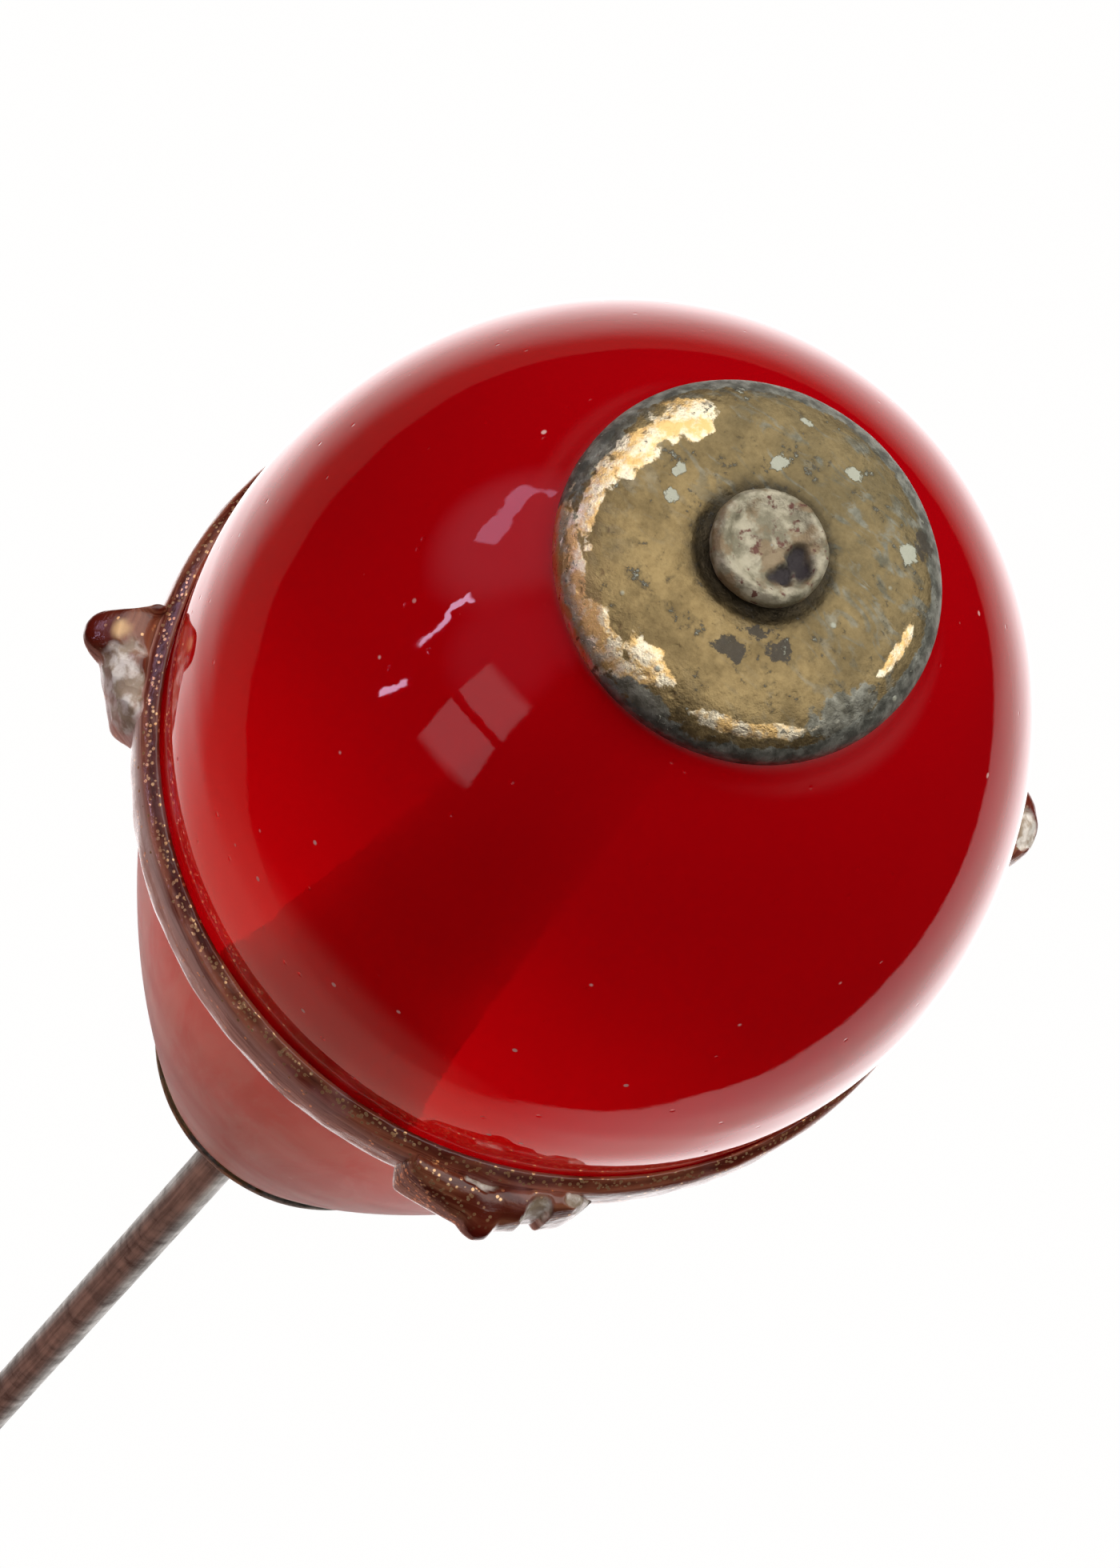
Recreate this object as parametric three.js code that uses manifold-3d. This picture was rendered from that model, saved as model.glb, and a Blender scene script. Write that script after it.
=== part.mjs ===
// A hat pin with a riveted ruby glass head: a long steel shank runs up through the pierced head and is
// peened over a domed brass cap. A second, matching cap closes the foot of the head and is soldered to
// the shank. A trail of goldstone glass is wound round the head's waist and drawn out into four points.
//
// Millimetres, +Z up along the shank. The origin is on the shank's axis, at the flat underside of the
// lower cap, which is where the head comes to rest against the hat.

import * as THREE from "three";
import { mergeVertices } from "three/addons/utils/BufferGeometryUtils.js";
import Module from "manifold-3d";

const wasm = await Module();
wasm.setup();

// ---- Driving dimensions -------------------------------------------------------------------------

const SHANK_RADIUS = 0.51;
const SHANK_LENGTH = 150; // from the lower cap's underside down to the tip
const POINT_LENGTH = 11; // ground taper at the tip

const CAP_RADIUS = 3.77;
const CAP_HEIGHT = 1.2; // from the rim's edge to the flat on top
const CAP_RIM = 0.22; // height of the rim's upright wall
const CAP_FLAT_RADIUS = 2.1;
const CAP_THICKNESS = 0.3;
const CAP_HOLE_RADIUS = 0.6;
const CAP_DISH_RADIUS = 1.4; // shallow seat pressed round the hole
const CAP_DISH_DEPTH = 0.06;
const SEAT_GAP = 0.03; // between pieces that rest on each other

const WAIST_Z = 22.4; // height of the head's widest circle
const WAIST_RADIUS = 8.5;
const DOME_HEIGHT = 10.9; // from the waist to the pole of the dome's curve
const CROWN_Z = WAIST_Z + 10.3; // flat that the upper cap covers
const CROWN_RADIUS = 2.3;
const CROWN_EDGE_RADIUS = 3.3; // where the dome's curve gives way to the crown
const FOOT_Z = 0.85; // flat foot of the glass, inside the lower cap
const FOOT_RADIUS = CAP_RADIUS - CAP_THICKNESS - 0.06;
const FOOT_CHAMFER = 0.1;
const BORE_RADIUS = 0.85;

const UPPER_CAP_RIM_Z = WAIST_Z + 9.98;
const RIVET_RADIUS = 1.17;
const RIVET_HEIGHT = 0.6;

const SOLDER_RADIUS = 1.02;
const SOLDER_LENGTH = 1.5;

const TRAIL_TOP_Z = WAIST_Z - 1.75;
const TRAIL_CREST_Z = WAIST_Z - 2.8;
const TRAIL_BOTTOM_Z = WAIST_Z - 3.9;
const TRAIL_PROUD = 0.5; // how far the crest stands out of the glass
const TRAIL_EDGE = 0.05; // thickness of the trail at its two edges
const TRAIL_STEPS = 9;

const HEAD_SIDES = 48;
const CAP_SIDES = 40;
const SHANK_SIDES = 20;

// The four drawn points. Angles are in degrees round the shank and lengths in millimetres. "reach" is
// the tip's distance from the axis and "bead" the radius of its round end. Each flank falls back to
// the trail over its "span"; a "fall" over 1 makes it hollow and one under 1 makes it full.
const POINTS = [
  { name: "point_east", tip: 41, reach: 10.44, bead: 1.2, before: [13, 1], after: [14, 1] },
  { name: "point_north", tip: 122, reach: 9.9, bead: 0.55, before: [10, 1.8], after: [16, 1] },
  { name: "point_west", tip: 205, reach: 10.03, bead: 0.5, before: [9, 2], after: [17, 1] },
  { name: "point_south", tip: 300, reach: 9.67, bead: 0.35, before: [13, 0.6], after: [22, 1.3] },
];
const POINT_CLEARANCE = 0.1; // between a point's root and the trail and glass under it

// ---- Materials ----------------------------------------------------------------------------------

const RUBY_GLASS = new THREE.MeshStandardMaterial({ color: 0x8c0008, roughness: 0.06, metalness: 0 });
const GOLDSTONE = new THREE.MeshStandardMaterial({ color: 0x6b3a24, roughness: 0.15, metalness: 0.2 });
const GILT_BRASS = new THREE.MeshStandardMaterial({ color: 0x8a7648, roughness: 0.5, metalness: 0.9 });
const STEEL = new THREE.MeshStandardMaterial({ color: 0x55504c, roughness: 0.4, metalness: 0.9 });
const SOLDER = new THREE.MeshStandardMaterial({ color: 0x6e6c68, roughness: 0.6, metalness: 0.8 });

// ---- Shape helpers ------------------------------------------------------------------------------

// Revolves a profile of [radius, height] pairs about the Z axis. The profile runs anticlockwise in the
// half plane, so that its faces point out: up the outside, then back down the inside or along the axis.
function revolve(profile, sides) {
  const points = profile.map(([radius, height]) => new THREE.Vector2(radius, height));
  return new THREE.LatheGeometry(points, sides).rotateX(Math.PI / 2);
}

// Heights shared out between two ends, with closer steps near the start.
function steps(from, to, count, crowding = 1) {
  return Array.from({ length: count + 1 }, (_, i) => from + (to - from) * (i / count) ** crowding);
}

function namedMesh(name, geometry, material) {
  const mesh = new THREE.Mesh(geometry, material);
  mesh.name = name;
  return mesh;
}

// A closed geometry as a manifold-3d solid, and back.
function toSolid(geometry) {
  const bare = geometry.clone();
  bare.deleteAttribute("normal");
  bare.deleteAttribute("uv");
  const merged = mergeVertices(bare, 1e-5);
  return new wasm.Manifold(
    new wasm.Mesh({
      numProp: 3,
      vertProperties: merged.attributes.position.array,
      triVerts: new Uint32Array(merged.index.array),
    }),
  );
}

function toGeometry(solid) {
  const { vertProperties, triVerts } = solid.getMesh();
  const geometry = new THREE.BufferGeometry();
  geometry.setAttribute("position", new THREE.BufferAttribute(vertProperties, 3));
  geometry.setIndex(new THREE.BufferAttribute(triVerts, 1));
  geometry.computeVertexNormals();
  return geometry;
}

// ---- The head's outline -------------------------------------------------------------------------

// Radius of the glass at a height: an elliptical dome over the waist, and below it a long taper that
// starts upright at the waist and steepens towards the foot.
const TAPER_SLOPE = 0.122;
const TAPER_CURVE = 0.0051;
const TAPER_EASE = 0.9; // height over which the taper turns away from upright

function glassRadius(z) {
  const above = z - WAIST_Z;
  if (above >= 0) {
    return WAIST_RADIUS * Math.sqrt(1 - (above / DOME_HEIGHT) ** 2);
  }
  const below = -above;
  const eased = below - TAPER_EASE * (1 - Math.exp(-below / TAPER_EASE));
  return WAIST_RADIUS - TAPER_SLOPE * eased - TAPER_CURVE * below * below;
}

// From the edge of the foot up to the edge of the crown. The foot sits inside the lower cap and a
// shoulder above it rests on the cap's rim.
function glassOutline() {
  const shoulderZ = CAP_HEIGHT + SEAT_GAP;
  const taper = steps(shoulderZ, WAIST_Z, 11).map((z) => [glassRadius(z), z]);
  const crownEdgeAngle = Math.acos(CROWN_EDGE_RADIUS / WAIST_RADIUS);
  const dome = steps(0, crownEdgeAngle, 12).slice(1).map((angle) => [
    WAIST_RADIUS * Math.cos(angle),
    WAIST_Z + DOME_HEIGHT * Math.sin(angle),
  ]);
  return [
    [FOOT_RADIUS - FOOT_CHAMFER, FOOT_Z],
    [FOOT_RADIUS, FOOT_Z + FOOT_CHAMFER],
    [FOOT_RADIUS, shoulderZ],
    ...taper,
    ...dome,
    [CROWN_RADIUS, CROWN_Z],
  ];
}

function glassHead() {
  const outline = glassOutline();
  return revolve([...outline, [BORE_RADIUS, CROWN_Z], [BORE_RADIUS, FOOT_Z], outline[0]], HEAD_SIDES);
}

// ---- Goldstone trail and its points -------------------------------------------------------------

// Outer face of the trail, from its lower edge to its upper one: a rounded ridge along the glass. A
// margin makes it oversize.
function trailFace(margin) {
  const heights = steps(TRAIL_BOTTOM_Z - margin, TRAIL_TOP_Z + margin, TRAIL_STEPS);
  return heights.map((z) => {
    const half = (z > TRAIL_CREST_Z ? TRAIL_TOP_Z : TRAIL_BOTTOM_Z) - TRAIL_CREST_Z;
    const share = Math.min(1, (z - TRAIL_CREST_Z) / half);
    const proud = TRAIL_EDGE + TRAIL_PROUD * Math.sqrt(1 - share * share);
    return [glassRadius(z) + SEAT_GAP + proud + margin, z];
  });
}

function goldstoneTrail() {
  const face = trailFace(0);
  const back = [...face].reverse().map(([, z]) => [glassRadius(z) + SEAT_GAP, z]);
  return revolve([...face, ...back, face[0]], HEAD_SIDES);
}

// What a point is seated on, a little oversize: the glass, taken as solid, and the trail round it.
function pointSeat() {
  const inside = WAIST_RADIUS - 2;
  const glass = glassOutline().map(([radius, z]) => [radius + POINT_CLEARANCE, z]);
  const face = trailFace(POINT_CLEARANCE);
  const back = [face[TRAIL_STEPS], face[0]].map(([, z]) => [inside, z]);
  const core = revolve([[0, FOOT_Z], ...glass, [0, CROWN_Z]], HEAD_SIDES);
  const ridge = revolve([...face, ...back, face[0]], HEAD_SIDES);
  return toSolid(core).add(toSolid(ridge));
}

// How far a point's edge lies from the axis, at an angle in degrees.
const POINT_BASE_RADIUS = 8.72; // the trail's crest
const POINT_ROOT_RADIUS = 7.4; // well inside the glass, where the seat cuts it away

function pointEdgeRadius({ tip, reach, bead, before, after }, degrees) {
  const offset = degrees - tip;
  const [span, fall] = offset < 0 ? before : after;
  const share = Math.min(1, Math.abs(offset) / span);
  const flank = POINT_BASE_RADIUS + (reach - 0.5 * bead - POINT_BASE_RADIUS) * (1 - share) ** fall;
  const across = THREE.MathUtils.degToRad(offset) * reach;
  const round = Math.abs(across) < bead ? reach - bead + Math.sqrt(bead * bead - across * across) : 0;
  return Math.max(flank, round);
}

// A point as upright slices fanned round the shank, each with a straight back and a rounded nose. The
// slices are thick at the trail and thin down to a bead at the tip.
const POINT_SLICES = 30;
const NOSE_STEPS = 8;
const ROOT_HALF_HEIGHT = 0.98;
const TIP_HALF_HEIGHT = 0.55;

function pointBody(point) {
  const first = point.tip - point.before[0];
  const last = point.tip + point.after[0];
  const positions = [];
  for (const degrees of steps(first, last, POINT_SLICES)) {
    const edge = pointEdgeRadius(point, degrees);
    const rise = (edge - POINT_BASE_RADIUS) / (point.reach - POINT_BASE_RADIUS);
    const halfHeight = ROOT_HALF_HEIGHT + (TIP_HALF_HEIGHT - ROOT_HALF_HEIGHT) * rise;
    const angle = THREE.MathUtils.degToRad(degrees);
    for (const turn of steps(-Math.PI / 2, Math.PI / 2, NOSE_STEPS)) {
      const radius = POINT_ROOT_RADIUS + (edge - POINT_ROOT_RADIUS) * Math.cos(turn) ** 0.7;
      positions.push(radius * Math.cos(angle), radius * Math.sin(angle));
      positions.push(TRAIL_CREST_Z + halfHeight * Math.sin(turn));
    }
  }
  const ring = NOSE_STEPS + 1;
  const index = [];
  for (let slice = 0; slice < POINT_SLICES; slice += 1) {
    for (let j = 0; j < ring; j += 1) {
      const [a, b] = [slice * ring + j, slice * ring + ((j + 1) % ring)];
      index.push(a, a + ring, b, b, a + ring, b + ring);
    }
  }
  for (let j = 1; j < ring - 1; j += 1) {
    const end = POINT_SLICES * ring;
    index.push(0, j, j + 1);
    index.push(end, end + j + 1, end + j);
  }
  const geometry = new THREE.BufferGeometry();
  geometry.setAttribute("position", new THREE.Float32BufferAttribute(positions, 3));
  geometry.setIndex(index);
  return geometry;
}

function goldstonePoint(point, seat) {
  const pieces = toSolid(pointBody(point)).subtract(seat).decompose();
  const [largest] = pieces.sort((one, other) => other.volume() - one.volume());
  return toGeometry(largest);
}

// ---- Metalwork ----------------------------------------------------------------------------------

// A spun cap as seen rim down: an upright rim, a domed shoulder, and a flat with a pierced, slightly
// dished middle.
function capProfile() {
  const shoulder = steps(0, Math.PI / 2, 6);
  const outer = shoulder.map((angle) => [
    CAP_FLAT_RADIUS + (CAP_RADIUS - CAP_FLAT_RADIUS) * Math.cos(angle),
    CAP_RIM + (CAP_HEIGHT - CAP_RIM) * Math.sin(angle),
  ]);
  const inner = [...shoulder].reverse().map((angle) => [
    CAP_FLAT_RADIUS + (CAP_RADIUS - CAP_THICKNESS - CAP_FLAT_RADIUS) * Math.cos(angle),
    CAP_RIM + (CAP_HEIGHT - CAP_THICKNESS - CAP_RIM) * Math.sin(angle),
  ]);
  return [
    [CAP_RADIUS, 0],
    ...outer,
    [CAP_DISH_RADIUS, CAP_HEIGHT],
    [CAP_DISH_RADIUS - CAP_DISH_DEPTH, CAP_HEIGHT - CAP_DISH_DEPTH],
    [CAP_HOLE_RADIUS, CAP_HEIGHT - CAP_DISH_DEPTH],
    [CAP_HOLE_RADIUS, CAP_HEIGHT - CAP_THICKNESS],
    ...inner,
    [CAP_RADIUS - CAP_THICKNESS, 0],
    [CAP_RADIUS, 0],
  ];
}

function upperCap() {
  return revolve(capProfile(), CAP_SIDES).translate(0, 0, UPPER_CAP_RIM_Z);
}

// The same cap turned over, its flat on z = 0 and its rim cupping the glass.
function lowerCap() {
  return revolve(capProfile(), CAP_SIDES).rotateX(Math.PI).translate(0, 0, CAP_HEIGHT);
}

// The shank in one piece with its peened end: a ground point, the plain wire, and a rivet that spreads
// over the upper cap and is dished a little where the hammer struck.
function shank() {
  const tipZ = -SHANK_LENGTH;
  const taper = steps(0, 1, 7).slice(1).map((share) => [
    SHANK_RADIUS * Math.sin((share * Math.PI) / 2) ** 0.9,
    tipZ + POINT_LENGTH * share,
  ]);
  const rivetZ = UPPER_CAP_RIM_Z + CAP_HEIGHT - CAP_DISH_DEPTH + SEAT_GAP;
  const rivetTop = rivetZ + RIVET_HEIGHT;
  return revolve(
    [
      [0, tipZ],
      ...taper,
      [SHANK_RADIUS, rivetZ],
      [RIVET_RADIUS - 0.08, rivetZ],
      [RIVET_RADIUS, rivetZ + 0.14],
      [RIVET_RADIUS - 0.02, rivetTop - 0.14],
      [RIVET_RADIUS - 0.13, rivetTop - 0.02],
      [RIVET_RADIUS * 0.62, rivetTop],
      [0, rivetTop - 0.07],
    ],
    SHANK_SIDES,
  );
}

// The fillet of solder that holds the lower cap, and with it the whole head, up on the shank.
function solderFillet() {
  const bore = SHANK_RADIUS + SEAT_GAP;
  const topZ = CAP_DISH_DEPTH - SEAT_GAP;
  const skirt = 0.06; // thickness where the solder thins out down the shank
  const outer = steps(0, 1, 5).map((share) => [
    bore + skirt + (SOLDER_RADIUS - bore - skirt) * share ** 2.2,
    topZ - SOLDER_LENGTH * (1 - share),
  ]);
  return revolve([...outer, [bore, topZ], [bore, topZ - SOLDER_LENGTH], outer[0]], SHANK_SIDES);
}

// ---- Assembly -----------------------------------------------------------------------------------

const hatPin = new THREE.Group();
hatPin.add(
  namedMesh("pin_shank", shank(), STEEL),
  namedMesh("upper_cap", upperCap(), GILT_BRASS),
  namedMesh("glass_head", glassHead(), RUBY_GLASS),
  namedMesh("goldstone_trail", goldstoneTrail(), GOLDSTONE),
  namedMesh("lower_cap", lowerCap(), GILT_BRASS),
  namedMesh("solder_fillet", solderFillet(), SOLDER),
);

const seat = pointSeat();
for (const point of POINTS) {
  hatPin.add(namedMesh(point.name, goldstonePoint(point, seat), GOLDSTONE));
}

export default hatPin;
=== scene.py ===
"""A hat pin with a riveted ruby glass head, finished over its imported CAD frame.

Metres, +Z up along the shank. Sizes written in millimetres are multiplied by MM. Angles round the
shank ("azimuths") are in degrees from +X towards +Y.
"""

from math import cos, radians, sin

import bpy
import numpy as np
from mathutils import Matrix, Vector, noise


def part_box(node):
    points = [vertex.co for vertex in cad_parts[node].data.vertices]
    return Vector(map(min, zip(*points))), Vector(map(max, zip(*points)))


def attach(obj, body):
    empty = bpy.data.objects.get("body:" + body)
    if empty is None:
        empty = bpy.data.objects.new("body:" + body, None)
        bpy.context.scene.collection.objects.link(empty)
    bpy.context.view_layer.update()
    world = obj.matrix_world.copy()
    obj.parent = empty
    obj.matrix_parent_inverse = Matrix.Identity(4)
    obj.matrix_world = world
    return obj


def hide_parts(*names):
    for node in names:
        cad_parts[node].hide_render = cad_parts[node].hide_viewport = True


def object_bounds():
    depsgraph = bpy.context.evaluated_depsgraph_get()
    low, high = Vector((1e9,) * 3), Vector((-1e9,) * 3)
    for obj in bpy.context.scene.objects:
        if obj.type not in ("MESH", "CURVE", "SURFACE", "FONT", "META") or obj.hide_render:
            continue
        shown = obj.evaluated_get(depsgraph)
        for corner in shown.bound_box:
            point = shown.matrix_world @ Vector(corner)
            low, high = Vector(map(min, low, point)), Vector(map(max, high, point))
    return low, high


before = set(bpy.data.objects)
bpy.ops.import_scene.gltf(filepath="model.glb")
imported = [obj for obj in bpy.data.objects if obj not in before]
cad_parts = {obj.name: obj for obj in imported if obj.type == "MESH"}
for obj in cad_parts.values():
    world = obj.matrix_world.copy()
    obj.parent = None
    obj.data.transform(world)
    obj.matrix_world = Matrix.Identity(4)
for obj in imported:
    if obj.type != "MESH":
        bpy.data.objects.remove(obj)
cad_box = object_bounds()

MM = 0.001
scene = bpy.context.scene


# ---- Shape helpers ------------------------------------------------------------------------------


def rings_of(node):
    """The (radius, height) of each ring of corners of a turned CAD node, in mm."""
    points = np.array([v.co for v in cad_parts[node].data.vertices]) / MM
    return np.unique(np.round(np.c_[np.hypot(points[:, 0], points[:, 1]), points[:, 2]], 3), axis=0)


def outer_profile(node):
    """A turned CAD node's outer silhouette: (heights, radii) in mm, from the bottom up."""
    rings = rings_of(node)
    heights = np.unique(rings[:, 1])
    return heights, np.array([rings[rings[:, 1] == z][:, 0].max() for z in heights])


def waist_height():
    """The height of the head's widest place, in mm."""
    heights, radii = outer_profile("glass_head")
    return heights[radii.argmax()]


def widest_radius(node):
    """The largest radius of a turned CAD node, in mm."""
    return rings_of(node)[:, 0].max()


def smooth_between(x, xs, ys):
    """A smooth curve through the points (xs, ys), read at x: cubic, with no overshoot."""
    h = np.diff(xs)
    slope = np.diff(ys) / h
    m = np.zeros_like(ys)
    same = slope[1:] * slope[:-1] > 0
    w1, w2 = 2 * h[1:] + h[:-1], h[1:] + 2 * h[:-1]
    with np.errstate(divide="ignore", invalid="ignore"):
        inner = (w1 + w2) / (w1 / slope[:-1] + w2 / slope[1:])
    m[1:-1] = np.where(same, inner, 0)
    m[0], m[-1] = slope[0], slope[-1]
    i = np.clip(np.searchsorted(xs, x) - 1, 0, len(h) - 1)
    t = (x - xs[i]) / h[i]
    a, b = 2 * t**3 - 3 * t**2 + 1, t**3 - 2 * t**2 + t
    return a * ys[i] + b * h[i] * m[i] + (1 - a) * ys[i + 1] + (t**3 - t**2) * h[i] * m[i + 1]


def smoothstep(low, high, x):
    t = np.clip((np.asarray(x, float) - low) / (high - low), 0, 1)
    return t * t * (3 - 2 * t)


def turn_gap(azimuths, centre):
    """Signed angle in degrees from centre to each azimuth, between -180 and 180."""
    return (np.asarray(azimuths) - centre + 180) % 360 - 180


def grain(x, y, z, scale, seed=0.0):
    """Smooth noise between about -1 and 1 at points in mm; scale is the grain size in mm."""
    flat = np.stack(np.broadcast_arrays(x, y, z), -1).reshape(-1, 3) / scale
    values = [noise.noise(Vector(p) + Vector((seed, 2 * seed, 3 * seed))) for p in flat]
    return np.array(values).reshape(np.broadcast_shapes(np.shape(x), np.shape(y), np.shape(z)))


def ring_grid(radii, heights, columns):
    """Azimuths in degrees and the x, y, z of a turned surface, in mm, one row for each profile point."""
    azimuths = np.arange(columns) * 360 / columns
    angle = np.radians(azimuths)
    x = np.outer(radii, np.cos(angle))
    y = np.outer(radii, np.sin(angle))
    return azimuths, x, y, np.repeat(np.asarray(heights, float)[:, None], columns, 1)


def make_object(name, vertices, faces, smooth=True):
    mesh = bpy.data.meshes.new(name)
    mesh.from_pydata([tuple(v) for v in vertices], [], faces)
    mesh.update()
    mesh.validate()
    mesh.polygons.foreach_set("use_smooth", [smooth] * len(mesh.polygons))
    made = bpy.data.objects.new(name, mesh)
    scene.collection.objects.link(made)
    return made


def turned_object(name, x, y, z, closed):
    """Skins a grid of rings. closed joins the last ring to the first; otherwise both ends are capped."""
    rows, columns = x.shape
    vertices = list(np.stack([x, y, z], -1).reshape(-1, 3) * MM)
    faces = []
    for i in range(rows if closed else rows - 1):
        a, b = i * columns, (i + 1) % rows * columns
        for j in range(columns):
            k = (j + 1) % columns
            faces.append((a + j, a + k, b + k, b + j))
    if not closed:
        for row, turn in ((0, -1), (rows - 1, 1)):
            vertices.append(np.array([x[row].mean(), y[row].mean(), z[row].mean()]) * MM)
            for j in range(columns):
                edge = (row * columns + j, row * columns + (j + 1) % columns)
                faces.append((*edge[::turn], len(vertices) - 1))
    return make_object(name, vertices, faces)


def finish_piece(made, material, node):
    """Gives a piece its material, and puts it in place of its CAD node."""
    made.data.materials.append(material)
    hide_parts(node)
    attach(made, "root")
    return made


def paint(made, name, values):
    """Stores one number for each vertex, for the materials to read."""
    layer = made.data.attributes.new(name, "FLOAT", "POINT")
    padded = np.zeros(len(made.data.vertices), np.float32)
    padded[: values.size] = np.asarray(values, np.float32).reshape(-1)
    layer.data.foreach_set("value", padded)


# ---- Material helpers ---------------------------------------------------------------------------


class Nodes:
    """A node tree, built by calls that return sockets."""

    def __init__(self, tree):
        self.tree = tree

    def put(self, socket, value):
        if isinstance(value, bpy.types.NodeSocket):
            self.tree.links.new(value, socket)
        else:
            socket.default_value = value

    def math(self, operation, a, b):
        node = self.tree.nodes.new("ShaderNodeMath")
        node.operation = operation
        self.put(node.inputs[0], a)
        self.put(node.inputs[1], b)
        return node.outputs[0]

    def ramp(self, value, low, high, to_low=0.0, to_high=1.0):
        """value between low and high, eased onto to_low and to_high."""
        node = self.tree.nodes.new("ShaderNodeMapRange")
        node.interpolation_type = "SMOOTHSTEP"
        self.put(node.inputs["Value"], value)
        for key, number in zip(("From Min", "From Max", "To Min", "To Max"), (low, high, to_low, to_high)):
            node.inputs[key].default_value = number
        return node.outputs["Result"]

    def mix(self, factor, a, b):
        """Colour a where factor is 0 and b where it is 1."""
        node = self.tree.nodes.new("ShaderNodeMix")
        node.data_type = "RGBA"
        self.put(node.inputs["Factor"], factor)
        self.put(node.inputs["A"], a)
        self.put(node.inputs["B"], b)
        return node.outputs["Result"]


class Skin(Nodes):
    """The node tree of a piece's material."""

    def __init__(self, name):
        self.material = bpy.data.materials.new(name)
        self.material.use_nodes = True
        super().__init__(self.material.node_tree)
        self.shader = self.tree.nodes["Principled BSDF"]
        self.output = self.tree.nodes["Material Output"]
        self.position = self.tree.nodes.new("ShaderNodeTexCoord").outputs["Object"]

    def scaled(self, per_mm):
        """The object's own coordinates times per_mm, which is one number or one for each axis."""
        node = self.tree.nodes.new("ShaderNodeVectorMath")
        node.operation = "MULTIPLY"
        self.put(node.inputs[0], self.position)
        scales = per_mm if isinstance(per_mm, tuple) else (per_mm,) * 3
        node.inputs[1].default_value = [scale / MM for scale in scales]
        return node.outputs[0]

    def axis(self, name):
        """One of the object's own coordinates, in mm."""
        node = self.tree.nodes.new("ShaderNodeSeparateXYZ")
        self.put(node.inputs[0], self.scaled(1))
        return node.outputs[name]

    def noise(self, per_mm, detail=3.0, roughness=0.55, distortion=0.0):
        node = self.tree.nodes.new("ShaderNodeTexNoise")
        self.put(node.inputs["Vector"], self.scaled(per_mm))
        node.inputs["Scale"].default_value = 1
        node.inputs["Detail"].default_value = detail
        node.inputs["Roughness"].default_value = roughness
        node.inputs["Distortion"].default_value = distortion
        return node.outputs["Fac"]

    def cells(self, per_mm, output="Distance"):
        node = self.tree.nodes.new("ShaderNodeTexVoronoi")
        self.put(node.inputs["Vector"], self.scaled(per_mm))
        node.inputs["Scale"].default_value = 1
        return node.outputs[output]

    def painted(self, name):
        node = self.tree.nodes.new("ShaderNodeAttribute")
        node.attribute_name = name
        return node.outputs["Fac"]

    def bump(self, height, depth_mm, strength=1.0, normal=None):
        node = self.tree.nodes.new("ShaderNodeBump")
        self.put(node.inputs["Strength"], strength)
        node.inputs["Distance"].default_value = depth_mm * MM
        self.put(node.inputs["Height"], height)
        if normal is not None:
            self.put(node.inputs["Normal"], normal)
        return node.outputs["Normal"]

    def set(self, **values):
        for key, value in values.items():
            self.put(self.shader.inputs[key.replace("_", " ")], value)
        return self.material

    def absorb(self, colour, density):
        node = self.tree.nodes.new("ShaderNodeVolumeAbsorption")
        node.inputs["Color"].default_value = colour
        node.inputs["Density"].default_value = density
        self.tree.links.new(node.outputs[0], self.output.inputs["Volume"])


def rgb(red, green, blue):
    return (red, green, blue, 1.0)


# ---- Ruby glass ---------------------------------------------------------------------------------


def ruby_glass():
    n = Skin("ruby_glass")
    height = n.axis("Z")
    dust = n.math("MULTIPLY", n.ramp(n.cells(1.1), 0.075, 0.04), n.ramp(n.cells(1.1, "Color"), 0.50, 0.54))
    rise = n.math("ADD", height, n.math("MULTIPLY", n.noise(0.11, detail=2.0), 8.0))
    deep = n.mix(n.ramp(rise, WAIST + 4, WAIST + 13), rgb(1.0, 0.0, 0.004), rgb(0.56, 0.0, 0.004))
    # below the trail the ruby thins out into salmon streaks that run down to the foot
    streaks = n.noise((0.75, 0.75, 0.07), detail=5.0, distortion=0.5)
    thin = n.mix(n.ramp(streaks, 0.36, 0.62), rgb(0.94, 0.20, 0.11), rgb(1.0, 0.58, 0.40))
    thin = n.mix(n.ramp(n.noise(0.25, detail=3.0), 0.46, 0.72, 0, 0.7), thin, rgb(0.90, 0.26, 0.19))
    below = n.ramp(height, WAIST - 2.6, WAIST - 4.6)
    colour = n.mix(below, deep, thin)
    normal = n.bump(n.noise(0.16, detail=1.0), 0.10)
    normal = n.bump(n.noise(2.2, detail=2.0), 0.0015, normal=normal)
    normal = n.bump(n.ramp(n.cells(1.3), 0.02, 0.09), 0.012, 0.5, normal=normal)
    n.absorb(rgb(0.95, 0.10, 0.10), 130.0)
    # clear enough to glow with the light behind it, and cloudy at the foot
    clear = n.math("MULTIPLY", n.ramp(height, WAIST + 8, WAIST, 0.33, 0.42), n.ramp(below, 0, 1, 1, 1.6))
    clear = n.math("MULTIPLY", clear, n.ramp(height, 2.0, 6.0, 0.4, 1.0))
    polish = n.ramp(n.noise(0.5, detail=4.0), 0.35, 0.7, 0.012, 0.05)
    return n.set(
        Base_Color=n.mix(dust, colour, rgb(0.85, 0.50, 0.46)),
        Roughness=n.math("ADD", polish, n.math("MULTIPLY", below, 0.42)),
        IOR=1.52,
        Transmission_Weight=n.math("MULTIPLY", n.ramp(dust, 0, 1, 1, 0.1), clear),
        Normal=normal,
    )


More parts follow.
